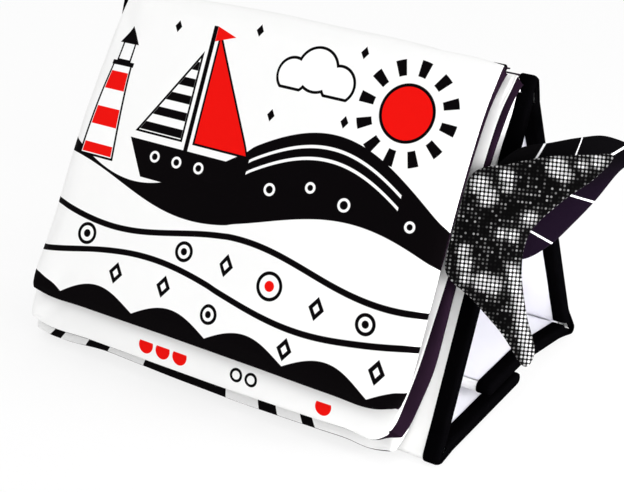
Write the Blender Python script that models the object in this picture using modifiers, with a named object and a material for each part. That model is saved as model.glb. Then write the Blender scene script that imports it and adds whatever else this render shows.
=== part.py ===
"""Tummy time book: three soft padded leaves that flip over the ridge of a folded cloth stand.

The stand is one long padded strip, folded into a triangle: front flap, front panel, back
panel and back flap, whose tongue is held on the front flap by hook and loop. X runs along
the ridge, the leaves face -Y, Z is up. The origin is on the table, at the middle of the
stand's base.
"""

import math

import bmesh
import bpy
from mathutils import Matrix, Vector

# Cloth and clearances
cloth_thickness = 0.0008
piece_gap = 0.0003
film_thickness = 0.0004

# Stand, measured outside: fold to fold and over the bindings
stand_width = 0.250
base_depth = 0.170
panel_slope = 0.198
panel_thickness = 0.007
ridge_radius = 0.003
front_fold_radius = 0.004
back_fold_radius = 0.004
fold_clearance = 0.0004
front_flap_length = 0.098
tongue_length = 0.045
tongue_overlap = 0.040
panel_crown = 0.0004
binding_width = 0.008
binding_roll = 0.0012
binding_blend = 0.003
wadding_thickness = 0.0026
filling_side_margin = 0.014
wadding_end_margin = 0.001
board_end_margin = 0.003
board_corner_radius = 0.006
strip_width = 0.022
strip_length = 0.190
strip_thickness = 0.0012
strip_setback = 0.006

# Leaves: the lengths run down the front panel from its ridge line
piping_radius = 0.0018
leaf_thickness = 0.010
leaf_space = 0.0003
leaf_width_margins = (0.022, 0.014, 0.018)
leaf_widths = tuple(stand_width - margin for margin in leaf_width_margins)
leaf_corner_draw = 0.0045
leaf_side_draw = 0.0012
leaf_crown = 0.0012
leaf_tops = (0.0, 0.0055, 0.007)
leaf_bottoms = (0.175, 0.192, 0.1975)
leaf_top_centres = (0.005, 0.0075, 0.0075)
leaf_leans = (0.006, 0.0105, 0.013)
header_side_margin = 0.004
header_starts = (0.0024, 0.0046, 0.0026)
foam_inset = 0.0025
foam_back_room = 0.0016
film_side_margin = 0.026

# Tails: each is sewn into its leaf's right edge and droops back from the leaf's plane
tail_cloth_thickness = 0.0005
tail_thickness = 0.0048
fish_tail_reach = 0.063
fish_tail_span = 0.107
fish_tail_place = 0.0775
fish_tail_droop = math.radians(30)
leaf_tail_length = 0.097
leaf_tail_width = 0.048
leaf_tail_tuck = 0.0076
leaf_tail_place = 0.081
leaf_tail_droop = math.radians(38.5)
leaf_tail_tilt = math.radians(37)

# How finely the soft surfaces are divided
leaf_columns = 14
leaf_rows = 10
fold_steps = 3
straight_steps = 5
lining_steps = 4
tail_outline_points = 36
tail_ring_shares = (0.5, 0.85, 1.0)

# Shapes, as shares of the sizes that they follow
cover_column_shares = (0.85, 0.5, 0.0)
fish_tail_centre_shares = (0.32, 0.0)
fish_tail_outline_shares = (
    (0.0, -0.18),
    (0.27, -0.29),
    (0.54, -0.37),
    (0.80, -0.42),
    (1.0, -0.45),
    (0.91, -0.33),
    (0.73, -0.20),
    (0.56, -0.03),
    (0.57, 0.13),
    (0.70, 0.32),
    (0.84, 0.47),
    (0.79, 0.55),
    (0.57, 0.44),
    (0.29, 0.33),
    (0.0, 0.21),
)
leaf_tail_centre_share = 0.4
leaf_tail_upper_shares = (
    (0.0, 0.28),
    (0.13, 0.62),
    (0.28, 0.93),
    (0.42, 1.0),
    (0.56, 0.84),
    (0.72, 0.68),
    (0.86, 0.46),
)
leaf_tail_lower_shares = (
    (0.0, 0.28),
    (0.10, 0.72),
    (0.24, 1.12),
    (0.40, 1.08),
    (0.55, 0.84),
    (0.70, 0.56),
    (0.86, 0.25),
)

# The triangle that the sizes give
base_half = base_depth / 2
front_angle = math.acos(base_half / panel_slope)
ridge_height = panel_slope * math.sin(front_angle)
tongue_height = panel_thickness + 2 * strip_thickness + 3 * piece_gap
tongue_end_y = front_flap_length - base_half - tongue_overlap
tongue_start_y = tongue_end_y + tongue_length

# The back fold is lowered until its rounding touches the table
back_fold_drop = 0.0
for _ in range(4):
    back_flap_rise = math.atan2(tongue_height + back_fold_drop, base_half - tongue_start_y)
    back_angle = math.atan2(ridge_height + back_fold_drop, base_half)
    back_half_angle = (back_angle - back_flap_rise) / 2
    middle_height = math.sin((back_angle + back_flap_rise) / 2) / math.sin(back_half_angle)
    back_fold_drop = back_fold_radius * (middle_height - 1)
back_slope = math.hypot(ridge_height + back_fold_drop, base_half)
ridge_half_angle = (math.pi - front_angle - back_angle) / 2
front_half_angle = front_angle / 2

# Fold lines and joint axes, all parallel to X. The front fold and the ridge open about their
# outer corners, and the back flap folds up about its inner corner.
front_fold_at = Vector((0, -base_half, 0))
back_fold_at = Vector((0, base_half, -back_fold_drop))
ridge_at = Vector((0, 0, ridge_height))
back_inward_angle = math.pi - back_flap_rise - back_half_angle
back_inward = Vector((0, math.cos(back_inward_angle), math.sin(back_inward_angle)))
back_axis_at = back_fold_at + back_inward * (panel_thickness / math.sin(back_half_angle))
ridge_top = ridge_height - ridge_radius * (1 / math.sin(ridge_half_angle) - 1)
leaf_axis_at = Vector((0, 0, ridge_top + piece_gap + piping_radius))


def clear_scene():
    for old in list(bpy.data.objects):
        bpy.data.objects.remove(old)


def cloth_material(name, colour, roughness):
    material = bpy.data.materials.new(name)
    material.use_nodes = True
    shader = material.node_tree.nodes["Principled BSDF"]
    shader.inputs["Base Color"].default_value = (*colour, 1)
    shader.inputs["Roughness"].default_value = roughness
    shader.inputs["Metallic"].default_value = 0
    material.diffuse_color = (*colour, 1)
    return material


def new_object(name, mesh, material, place, turn, pivot):
    """Puts a mesh at a place in the world, turned about X, and hangs it on its pivot."""
    mesh.name = name
    item = bpy.data.objects.new(name, mesh)
    book.objects.link(item)
    mesh.materials.append(material)
    item.rotation_euler = (turn, 0, 0)
    item.location = place
    if pivot:
        item.parent = pivot
        item.location = place - pivot_places[pivot.name]
    return item


def new_pivot(name, place, parent=None):
    """An empty on a joint's axis. Pivots stay unturned, so a place under one is a difference."""
    pivot = bpy.data.objects.new(name, None)
    book.objects.link(pivot)
    pivot_places[name] = place
    pivot.location = place
    if parent:
        pivot.parent = parent
        pivot.location = place - pivot_places[parent.name]
    return pivot


def grid_mesh(rows):
    """A sheet of quads through rows of points."""
    mesh = bpy.data.meshes.new("sheet")
    shape = bmesh.new()
    add_grid(shape, rows)
    shape.to_mesh(mesh)
    shape.free()
    mesh.shade_smooth()
    return mesh


def add_grid(shape, rows):
    grid = [[shape.verts.new(point) for point in row] for row in rows]
    for low, high in zip(grid, grid[1:]):
        for a, b, c, d in zip(low, low[1:], high[1:], high):
            shape.faces.new((a, b, c, d))
    return grid


def face_outwards(shape):
    bmesh.ops.recalc_face_normals(shape, faces=shape.faces)
    if shape.calc_volume(signed=True) < 0:
        bmesh.ops.reverse_faces(shape, faces=shape.faces)


def thicken(item, thickness, offset=-1.0):
    solid = item.modifiers.new("thickness", "SOLIDIFY")
    solid.thickness = thickness
    solid.offset = offset
    solid.use_even_offset = True


def turned(vector, angle):
    """Turned about X, from +Y towards +Z."""
    return Matrix.Rotation(angle, 3, "X") @ vector


class Fold:
    """One end of a panel: a fold that the next panel shares, or a free end."""

    def __init__(self, half_angle=None, radius=panel_thickness / 2):
        self.free = half_angle is None
        self.half_angle = half_angle
        self.radius = radius
        self.outer_reach = radius if self.free else radius / math.tan(half_angle)
        self.steps = 2 * fold_steps if self.free else fold_steps

    def reach(self, depth):
        """How far from the fold line something starts that lies this deep in the panel."""
        if self.free:
            return self.radius + piece_gap
        return depth / math.tan(self.half_angle) + fold_clearance / math.sin(self.half_angle)

    def arc(self):
        """Points and normals round the fold, from its middle to where the panel's face starts."""
        sweep = math.pi if self.free else math.pi / 2 - self.half_angle
        middle = Vector((0, self.outer_reach, -self.radius))
        found = []
        for step in range(self.steps):
            back = sweep * (1 - step / self.steps)
            normal = Vector((0, -math.sin(back), math.cos(back)))
            found.append((middle + normal * self.radius, normal))
        return found

    def clear(self, point):
        """Moves a point back to its own side of the fold, so that two panels never touch."""
        if self.free:
            return point
        across = Vector((0, math.sin(self.half_angle), math.cos(self.half_angle)))
        return point + across * max(0.0, fold_clearance - point.dot(across))


class Panel:
    """A panel's path along the strip: Y runs from its start to its end, and Z faces outwards."""

    def __init__(self, length, start, end, crown=0.0, bend_at=None, bend=0.0):
        self.length = length
        self.start = start
        self.end = end
        self.crown = crown
        self.bend_at = bend_at
        self.bend = bend

    def flat_ys(self, first, last, steps):
        """Even steps along the panel. A bent one has its bend among them, then two steps more."""
        stops = [first + (last - first) * step / steps for step in range(steps + 1)]
        if self.bend_at is None:
            return stops
        corner = self.bend_at
        before = [first + (corner - first) * step / steps for step in range(steps)]
        return before + [corner, (corner + last) / 2, last]

    def station(self, y, depth, facing):
        """A point at a depth under the outer face, with the normal on that side of the panel."""
        normal = Vector((0, 0, facing))
        point = Vector((0, y, -depth))
        if self.bend_at is None or y < self.bend_at:
            return point, normal
        hinge = Vector((0, self.bend_at, 0))
        turn = self.bend / 2 if y == self.bend_at else self.bend
        thinned = 1 / math.cos(self.bend / 2) if y == self.bend_at else 1
        return hinge + turned((point - hinge) * thinned, turn), turned(normal, turn)

    def outer(self, with_start=True, with_end=True):
        """Points and normals along the outer face, round the folds or free ends too."""
        last = self.length - self.end.outer_reach
        found = []
        if with_start:
            found += self.start.arc()
        found += [self.station(y, 0, 1) for y in self.flat_ys(self.start.outer_reach, last, straight_steps)]
        if with_end:
            arc = [(Vector((0, -p.y, p.z)), Vector((0, -n.y, n.z))) for p, n in reversed(self.end.arc())]
            hinge = Vector((0, self.length if self.bend_at is None else self.bend_at, 0))
            past = Vector((0, 0 if self.bend_at is None else self.length - self.bend_at, 0))
            found += [(hinge + turned(p + past, self.bend), turned(n, self.bend)) for p, n in arc]
        return found

    def inner(self, first, last, steps):
        """Points and normals along the inner face."""
        return [self.station(y, panel_thickness, -1) for y in self.flat_ys(first, last, steps)]

    def clear(self, point):
        point = self.start.clear(point)
        mirrored = Vector((point.x, self.length - point.y, point.z))
        mirrored = self.end.clear(mirrored)
        return Vector((mirrored.x, self.length - mirrored.y, mirrored.z))

    def cover_rows(self, stations, facing):
        """Rows over one face: the cloth tucks in under the bindings and swells a little between."""
        edge = stand_width / 2 - binding_roll - cloth_thickness
        under = stand_width / 2 - binding_width - piece_gap
        face = under - binding_blend
        tuck = cloth_thickness + piece_gap
        half = [(edge, tuck, 0.0), (under, tuck, 0.0), (face, 0.0, 0.0)]
        half += [(face * share, 0.0, 1 - share**2) for share in cover_column_shares]
        columns = [(-x, tucked, share) for x, tucked, share in half[:-1]] + half[::-1]
        rows = []
        for step, (point, normal) in enumerate(stations):
            swell = self.crown * math.sin(math.pi * step / (len(stations) - 1))
            row = []
            for x, tucked, share in columns[::facing]:
                away = normal * (swell * share - tucked)
                row.append(self.clear(point + away + Vector((x, 0, 0))))
            rows.append(row)
        return rows

    def binding_rows(self, side):
        """A tape folded round one side: its outer leg, its rolled edge, its inner leg."""
        outer = self.outer(not self.start.free, not self.end.free)
        first = self.start.outer_reach if self.start.free else self.start.reach(panel_thickness)
        past = self.end.outer_reach if self.end.free else self.end.reach(panel_thickness)
        last = self.length - past
        steps = len(outer) - 1 if self.bend_at is None else len(outer) - 3
        inner = self.inner(first, last, steps)
        edge = stand_width / 2
        rows = []
        for (out_point, out_normal), (in_point, in_normal) in zip(outer, inner):
            out_roll = out_point - out_normal * binding_roll
            in_roll = in_point - in_normal * binding_roll
            places = (
                (edge - binding_width, out_point),
                (edge - binding_roll, out_point),
                (edge, out_roll),
                (edge, in_roll),
                (edge - binding_roll, in_point),
                (edge - binding_width, in_point),
            )
            row = [self.clear(point + Vector((side * x, 0, 0))) for x, point in places]
            rows.append(row[::side])
        return rows


def box_mesh(low, high, corner_radius=0.0):
    """A board, sheet or strip between two corners, with its four upright edges rounded."""
    mesh = bpy.data.meshes.new("box")
    shape = bmesh.new()
    bmesh.ops.create_cube(shape, size=1)
    size = high - low
    bmesh.ops.scale(shape, vec=size, verts=shape.verts)
    bmesh.ops.translate(shape, vec=(low + high) / 2, verts=shape.verts)
    if corner_radius:
        upright = [e for e in shape.edges if abs(e.verts[0].co.z - e.verts[1].co.z) > size.z / 2]
        bmesh.ops.bevel(
            shape, geom=upright, offset=corner_radius, segments=3, profile=0.5, affect="EDGES"
        )
    shape.to_mesh(mesh)
    shape.free()
    return mesh


def build_panel(name, panel, place, turn, pivot):
    """One panel of the strip: outer cover, lining, wadding, stiffening board and two bindings."""
    mesh = grid_mesh(panel.cover_rows(panel.outer(), 1))
    thicken(new_object(name + "_cover", mesh, white_cloth, place, turn, pivot), cloth_thickness)

    first = panel.start.reach(panel_thickness)
    last = panel.length - panel.end.reach(panel_thickness)
    mesh = grid_mesh(panel.cover_rows(panel.inner(first, last, lining_steps), -1))
    thicken(new_object(name + "_lining", mesh, lining_cloth, place, turn, pivot), cloth_thickness)

    wadding_top = cloth_thickness + piece_gap
    wadding_low = wadding_top + wadding_thickness
    board_top = wadding_low + piece_gap
    board_low = panel_thickness - wadding_top
    side = stand_width / 2 - filling_side_margin

    first = max(panel.start.outer_reach, panel.start.reach(wadding_low)) + wadding_end_margin
    last = max(panel.end.outer_reach, panel.end.reach(wadding_low)) + wadding_end_margin
    rows = []
    for y in panel.flat_ys(first, panel.length - last, 1):
        point, _ = panel.station(y, wadding_top, 1)
        rows.append([point + Vector((x, 0, 0)) for x in (-side, side)])
    wadding = new_object(name + "_wadding", grid_mesh(rows), wadding_felt, place, turn, pivot)
    thicken(wadding, wadding_thickness)

    first = panel.start.reach(board_low) + board_end_margin
    last = panel.length - panel.end.reach(board_low) if panel.bend_at is None else panel.bend_at
    low = Vector((-side, first, -board_low))
    high = Vector((side, last - board_end_margin, -board_top))
    mesh = box_mesh(low, high, board_corner_radius)
    new_object(name + "_board", mesh, board_card, place, turn, pivot)

    for sign, word in ((-1, "left"), (1, "right")):
        mesh = grid_mesh(panel.binding_rows(sign))
        tape = new_object(f"{name}_binding_{word}", mesh, binding_tape, place, turn, pivot)
        thicken(tape, cloth_thickness)


def build_stand():
    """The four panels of the strip, in order, and the fastening under the base."""
    front_fold = Fold(front_half_angle, front_fold_radius)
    ridge_fold = Fold(ridge_half_angle, ridge_radius)
    back_fold = Fold(back_half_angle, back_fold_radius)
    free_end = Fold()

    end_at = Vector((0, front_flap_length - base_half, 0))
    front_flap = Panel(front_flap_length, free_end, front_fold)
    build_panel("front_flap", front_flap, end_at, math.pi, front_flap_pivot)

    front_panel = Panel(panel_slope, front_fold, ridge_fold, panel_crown)
    build_panel("front_panel", front_panel, front_fold_at, front_angle, None)

    back_panel = Panel(back_slope, ridge_fold, back_fold, panel_crown)
    build_panel("back_panel", back_panel, ridge_at, -back_angle, back_panel_pivot)

    bend_at = math.hypot(base_half - tongue_start_y, tongue_height + back_fold_drop)
    back_flap = Panel(bend_at + tongue_length, back_fold, free_end, 0.0, bend_at, back_flap_rise)
    build_panel("back_flap", back_flap, back_fold_at, math.pi - back_flap_rise, back_flap_pivot)

    strip_end = end_at.y - strip_setback
    hook_low = panel_thickness + piece_gap
    loop_low = hook_low + strip_thickness + piece_gap
    for name, height, pivot, material in (
        ("hook_strip", hook_low, front_flap_pivot, hook_tape),
        ("loop_strip", loop_low, back_flap_pivot, loop_tape),
    ):
        low = Vector((-strip_length / 2, strip_end - strip_width, height))
        high = Vector((strip_length / 2, strip_end, height + strip_thickness))
        new_object(name, box_mesh(low, high), material, Vector(), 0, pivot)


def dome(across, along):
    """Height of a boxy pillow from 0 at its seam to 1 in the middle, for places from -1 to 1."""
    return math.sqrt(max(0.0, (1 - across**8) * (1 - along**8)))


def leaf_place(leaf, down, out):
    """A point of a leaf in the flip axis's frame: down the slope, and out from the leaf's seam."""
    below = leaf_axis_at.z - ridge_height
    leaves_behind = len(leaf_tops) - 1 - leaf
    stack = panel_crown + leaf_space + leaf_thickness / 2
    stack += leaves_behind * (leaf_thickness + leaf_space)
    y = -(down + below * math.sin(front_angle))
    return Vector((0, y, stack + out - below * math.cos(front_angle)))


def leaf_side_x(leaf, down, side):
    """Where a leaf's side seam runs: its bottom leans to the left and its sides draw in."""
    share = (down - leaf_tops[leaf]) / (leaf_bottoms[leaf] - leaf_tops[leaf])
    draw = leaf_side_draw * 4 * share * (1 - share)
    return leaf_top_centres[leaf] - leaf_leans[leaf] * share + side * (leaf_widths[leaf] / 2 - draw)


def pad_rows(leaf, inset, rise, crown, facing):
    """Rows of points over one side of a leaf, drawn in by an inset, in the flip axis's frame."""
    top, bottom = leaf_tops[leaf], leaf_bottoms[leaf]
    middle = (top + bottom) / 2
    rows = []
    for row_number in range(leaf_rows + 1):
        along = math.sin(math.pi / 2 * (2 * row_number / leaf_rows - 1))
        row = []
        for column in range(leaf_columns + 1):
            across = math.sin(math.pi / 2 * (2 * column / leaf_columns - 1))
            draw = leaf_corner_draw * abs(across * along) ** 5
            down = middle + along * ((bottom - top) / 2 - inset - draw)
            centre_x = (leaf_side_x(leaf, down, -1) + leaf_side_x(leaf, down, 1)) / 2
            half_width = leaf_side_x(leaf, down, 1) - centre_x
            swell = rise + crown * (1 - across**2) * (1 - along**2)
            place = leaf_place(leaf, down, facing * (piece_gap / 2 + dome(across, along) * swell))
            place.x = centre_x + across * (half_width - inset - draw)
            row.append(place)
        rows.append(row)
    return rows


def closed_mesh(outer, inner):
    """A closed body between two grids of points, joined round their rims."""
    mesh = bpy.data.meshes.new("pad")
    shape = bmesh.new()
    grids = [add_grid(shape, outer), add_grid(shape, inner)]
    rims = []
    for grid in grids:
        right = [row[-1] for row in grid[1:-1]]
        left = [row[0] for row in grid[1:-1]]
        rims.append(grid[0] + right + grid[-1][::-1] + left[::-1])
    outer_rim, inner_rim = rims
    count = len(outer_rim)
    for number in range(count):
        after = (number + 1) % count
        shape.faces.new((outer_rim[number], outer_rim[after], inner_rim[after], inner_rim[number]))
    face_outwards(shape)
    shape.to_mesh(mesh)
    shape.free()
    mesh.shade_smooth()
    return mesh


def build_leaf(leaf, pivot):
    """A padded leaf: printed front cloth, black back cloth, foam, crinkle film and sewn header."""
    name = f"leaf_{leaf + 1}"
    turn = front_angle
    crown = 0.0 if leaf else leaf_crown
    rise = (leaf_thickness - piece_gap) / 2
    skin = cloth_thickness + piece_gap

    for word, material, swell, facing in (
        ("front_cloth", print_cloth, crown, 1),
        ("back_cloth", black_cloth, 0.0, -1),
    ):
        outer = pad_rows(leaf, 0.0, rise, swell, facing)
        inner = pad_rows(leaf, cloth_thickness, rise - cloth_thickness, swell, facing)
        new_object(f"{name}_{word}", closed_mesh(outer, inner), material, leaf_axis_at, turn, pivot)

    foam_low = rise - skin - foam_back_room
    front = pad_rows(leaf, foam_inset, rise - skin, crown, 1)
    back = pad_rows(leaf, foam_inset, foam_low, 0.0, -1)
    new_object(name + "_foam", closed_mesh(front, back), foam_white, leaf_axis_at, turn, pivot)

    low = leaf_place(leaf, leaf_bottoms[leaf] - film_side_margin, -foam_low - piece_gap)
    high = leaf_place(leaf, leaf_tops[leaf] + film_side_margin, -foam_low - piece_gap)
    centre_x = leaf_top_centres[leaf] - leaf_leans[leaf] / 2
    low.x = centre_x - leaf_widths[leaf] / 2 + film_side_margin
    high.x = centre_x + leaf_widths[leaf] / 2 - film_side_margin
    low.z -= piece_gap + film_thickness
    high.z -= piece_gap
    new_object(name + "_crinkle_film", box_mesh(low, high), crinkle_film, leaf_axis_at, turn, pivot)

    seam = leaf_place(leaf, leaf_tops[leaf] - cloth_thickness, 0)
    start = seam * (header_starts[leaf] / seam.length)
    reach = leaf_widths[leaf] / 2 - header_side_margin
    rows = []
    for point in (seam, start):
        rows.append([point + Vector((leaf_top_centres[leaf] + x, 0, 0)) for x in (-reach, reach)])
    header = new_object(name + "_header", grid_mesh(rows), black_cloth, leaf_axis_at, turn, pivot)
    thicken(header, cloth_thickness, 0.0)


def smooth_loop(points, count):
    """Points at even steps of a closed Catmull-Rom curve through the given ones."""
    total = len(points)
    found = []
    for number in range(count):
        place = number * total / count
        start = int(place)
        t = place - start
        a, b, c, d = (points[(start + step) % total] for step in (-1, 0, 1, 2))
        curve = 2 * b + (c - a) * t + (2 * a - 5 * b + 4 * c - d) * t**2
        curve = (curve + (3 * b - 3 * c + d - a) * t**3) / 2
        found.append(Vector((max(curve.x, 0), curve.y, 0)))
    return found


def fish_tail_outline():
    outline = []
    for across, along in fish_tail_outline_shares:
        outline.append(Vector((across * fish_tail_reach, -along * fish_tail_span, 0)))
    across, along = fish_tail_centre_shares
    return outline, Vector((across * fish_tail_reach, along * fish_tail_span, 0))


def leaf_tail_outline():
    """The leaf-shaped tail. Its wide root is cut off where the leaf's seam takes it in."""
    forward = Vector((math.cos(leaf_tail_tilt), math.sin(leaf_tail_tilt), 0)) * leaf_tail_length
    square = Vector((-math.sin(leaf_tail_tilt), math.cos(leaf_tail_tilt), 0)) * leaf_tail_width / 2
    outline = [forward * t + square * half for t, half in leaf_tail_upper_shares]
    outline.append(forward)
    outline += [forward * t - square * half for t, half in reversed(leaf_tail_lower_shares)]
    tuck = Vector((leaf_tail_tuck, 0, 0))
    return [point - tuck for point in outline], forward * leaf_tail_centre_share - tuck


def half_rings(outline, centre, inset, rise, facing):
    """One side of a stuffed shape: its middle, then rings that widen and sink to its outline."""
    nearest = min((point - centre).length for point in outline)
    rings = [[centre + Vector((0, 0, facing * (piece_gap / 2 + rise)))]]
    for share in tail_ring_shares:
        height = facing * (piece_gap / 2 + rise * math.sqrt(1 - share**2))
        across = share * (1 - inset / nearest)
        rings.append([centre + (point - centre) * across + Vector((0, 0, height)) for point in outline])
    return rings


def ring_mesh(rings, turn):
    """A closed body through rings of points that start and end in one point each."""
    mesh = bpy.data.meshes.new("tail")
    shape = bmesh.new()
    loops = [[shape.verts.new(turn @ point) for point in ring] for ring in rings]
    count = len(loops[1])
    for number in range(count):
        after = (number + 1) % count
        shape.faces.new((loops[0][0], loops[1][number], loops[1][after]))
        for low, high in zip(loops[1:], loops[2:-1]):
            shape.faces.new((low[number], high[number], high[after], low[after]))
        shape.faces.new((loops[-1][0], loops[-2][after], loops[-2][number]))
    face_outwards(shape)
    shape.to_mesh(mesh)
    shape.free()
    mesh.shade_smooth()
    return mesh


def build_tail(leaf, place, droop, shape, front_material, back_material):
    """A stuffed tail in a leaf's side seam: front cloth, back cloth and wadding."""
    name = f"leaf_{leaf + 1}_tail"
    seam = leaf_place(leaf, place, 0)
    seam.x = leaf_side_x(leaf, place, 1) + 2 * piece_gap
    seam_at = leaf_axis_at + turned(seam, front_angle)
    pivot = new_pivot(name + "_swing_axis", seam_at, leaf_pivots[leaf])
    lean = math.atan2(leaf_leans[leaf], leaf_bottoms[leaf] - leaf_tops[leaf])
    turn = Matrix.Rotation(-lean, 3, "Z") @ Matrix.Rotation(droop, 3, "Y")

    points, centre = shape
    outline = smooth_loop(points, tail_outline_points)
    rise = (tail_thickness - piece_gap) / 2
    cloth = tail_cloth_thickness
    for word, facing, material in (("front", 1, front_material), ("back", -1, back_material)):
        outer = half_rings(outline, centre, 0.0, rise, facing)
        inner = half_rings(outline, centre, cloth, rise - cloth, facing)
        mesh = ring_mesh(outer + inner[::-1], turn)
        new_object(f"{name}_{word}", mesh, material, seam_at, front_angle, pivot)

    inset = 3 * cloth
    top = half_rings(outline, centre, inset, rise - cloth - piece_gap, 1)
    under = half_rings(outline, centre, inset, rise - cloth - piece_gap, -1)
    mesh = ring_mesh(top + under[::-1], turn)
    new_object(name + "_wadding", mesh, wadding_felt, seam_at, front_angle, pivot)


clear_scene()
book = bpy.data.collections.new("tummy_time_book")
bpy.context.scene.collection.children.link(book)
pivot_places = {}

white_cloth = cloth_material("white_cloth", (0.93, 0.93, 0.92), 0.75)
lining_cloth = cloth_material("lining_cloth", (0.90, 0.89, 0.94), 0.8)
print_cloth = cloth_material("print_cloth", (0.95, 0.95, 0.95), 0.7)
black_cloth = cloth_material("black_cloth", (0.03, 0.02, 0.03), 0.55)
binding_tape = cloth_material("binding_tape", (0.01, 0.01, 0.01), 0.8)
wadding_felt = cloth_material("wadding_felt", (0.92, 0.92, 0.90), 0.95)
board_card = cloth_material("board_card", (0.62, 0.55, 0.44), 0.8)
foam_white = cloth_material("foam_white", (0.90, 0.89, 0.82), 0.95)
crinkle_film = cloth_material("crinkle_film", (0.85, 0.87, 0.88), 0.25)
hook_tape = cloth_material("hook_tape", (0.02, 0.02, 0.02), 0.7)
loop_tape = cloth_material("loop_tape", (0.03, 0.03, 0.03), 0.9)
foil_dot_cloth = cloth_material("foil_dot_cloth", (0.35, 0.35, 0.36), 0.3)
satin_cloth = cloth_material("satin_cloth", (0.02, 0.02, 0.02), 0.35)

back_panel_pivot = new_pivot("stand_fold_axis", ridge_at)
back_flap_pivot = new_pivot("back_flap_fold_axis", back_axis_at, back_panel_pivot)
front_flap_pivot = new_pivot("front_flap_fold_axis", front_fold_at)
build_stand()

piping = bpy.data.curves.new("ridge_piping", "CURVE")
piping.dimensions = "3D"
piping.bevel_depth = piping_radius
piping.bevel_resolution = 1
piping.use_fill_caps = True
line = piping.splines.new("POLY")
line.points.add(1)
piping_reach = min(leaf_widths) / 2 - header_side_margin
line.points[0].co = (-piping_reach, 0, 0, 1)
line.points[1].co = (piping_reach, 0, 0, 1)
new_object("ridge_piping", piping, binding_tape, leaf_axis_at, 0, None)

leaf_pivots = {}
leaf_pivot = None
for leaf in reversed(range(len(leaf_tops))):
    leaf_pivot = new_pivot(f"leaf_{leaf + 1}_flip_axis", leaf_axis_at, leaf_pivot)
    leaf_pivots[leaf] = leaf_pivot
    build_leaf(leaf, leaf_pivot)

build_tail(0, fish_tail_place, fish_tail_droop, fish_tail_outline(), foil_dot_cloth, black_cloth)
build_tail(1, leaf_tail_place, leaf_tail_droop, leaf_tail_outline(), satin_cloth, satin_cloth)
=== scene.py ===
"""Tummy time book, dressed: a folded cloth stand, three padded leaves and two stuffed tails.

Everything is in metres in the part's own frame: X runs along the ridge, the leaves face -Y,
Z is up, and the origin is on the table under the middle of the stand.
"""

import math

import bmesh
import bpy
from mathutils import Matrix, Vector


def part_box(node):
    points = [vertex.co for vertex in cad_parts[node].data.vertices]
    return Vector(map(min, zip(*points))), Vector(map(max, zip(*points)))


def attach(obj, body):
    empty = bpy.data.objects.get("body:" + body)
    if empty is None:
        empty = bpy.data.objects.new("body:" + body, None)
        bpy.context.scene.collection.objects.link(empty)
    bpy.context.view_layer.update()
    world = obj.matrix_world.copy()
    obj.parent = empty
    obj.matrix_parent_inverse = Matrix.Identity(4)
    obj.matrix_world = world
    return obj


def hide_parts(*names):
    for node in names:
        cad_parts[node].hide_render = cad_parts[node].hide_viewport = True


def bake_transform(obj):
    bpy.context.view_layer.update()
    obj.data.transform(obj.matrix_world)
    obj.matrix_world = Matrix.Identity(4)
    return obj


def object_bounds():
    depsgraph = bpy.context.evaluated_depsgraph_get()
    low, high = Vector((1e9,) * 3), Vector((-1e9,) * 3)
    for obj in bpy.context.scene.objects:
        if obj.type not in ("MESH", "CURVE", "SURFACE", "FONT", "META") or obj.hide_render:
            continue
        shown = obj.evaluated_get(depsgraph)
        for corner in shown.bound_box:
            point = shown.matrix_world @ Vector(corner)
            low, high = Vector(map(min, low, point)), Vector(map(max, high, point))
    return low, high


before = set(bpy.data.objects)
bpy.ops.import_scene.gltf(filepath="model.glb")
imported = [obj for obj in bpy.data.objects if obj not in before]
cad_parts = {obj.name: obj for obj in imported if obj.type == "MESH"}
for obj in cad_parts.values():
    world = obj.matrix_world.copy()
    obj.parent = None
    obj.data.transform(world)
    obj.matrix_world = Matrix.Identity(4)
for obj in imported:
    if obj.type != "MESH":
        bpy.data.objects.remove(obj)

cad_low, cad_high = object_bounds()

# --------------------------------------------------
# Camera: where the photographer stood, above the right end of the book. The picture is a
# cut from a larger one, so its optical centre is off the middle, which the shift gives.
# --------------------------------------------------
picture_width, picture_height = 624, 492
optical_centre = (346.66, 182.87)
focal_pixels = 1398.77
camera_place = Vector((0.37492, -0.59624, 0.38534))
camera_aim = Vector((0.0219, 0.0, 0.0955))
camera_roll = math.radians(1.657)

ahead = (camera_aim - camera_place).normalized()
level_right = ahead.cross(Vector((0, 0, 1))).normalized()
level_up = level_right.cross(ahead)
rolled_right = level_right * math.cos(camera_roll) + level_up * math.sin(camera_roll)
rolled_up = level_up * math.cos(camera_roll) - level_right * math.sin(camera_roll)

lens = bpy.data.cameras.new("camera")
lens.sensor_width = 36.0
lens.lens = focal_pixels * lens.sensor_width / picture_width
lens.shift_x = (picture_width / 2 - optical_centre[0]) / picture_width
lens.shift_y = (optical_centre[1] - picture_height / 2) / picture_width
lens.clip_start, lens.clip_end = 0.01, 50.0
camera = bpy.data.objects.new("camera", lens)
bpy.context.scene.collection.objects.link(camera)
camera.matrix_world = Matrix.Translation(camera_place) @ Matrix(
    (rolled_right, rolled_up, -ahead)
).transposed().to_4x4()
bpy.context.scene.camera = camera
bpy.context.scene.view_settings.view_transform = "Standard"

# --------------------------------------------------
# Table and light: a pale paper sweep under large soft lamps. The camera, and whatever is
# glossy, sees paper and surroundings white, and the paper keeps the book's shadow.
# --------------------------------------------------
paper_whiteness = 0.80
surroundings_strength = 0.755


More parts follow.
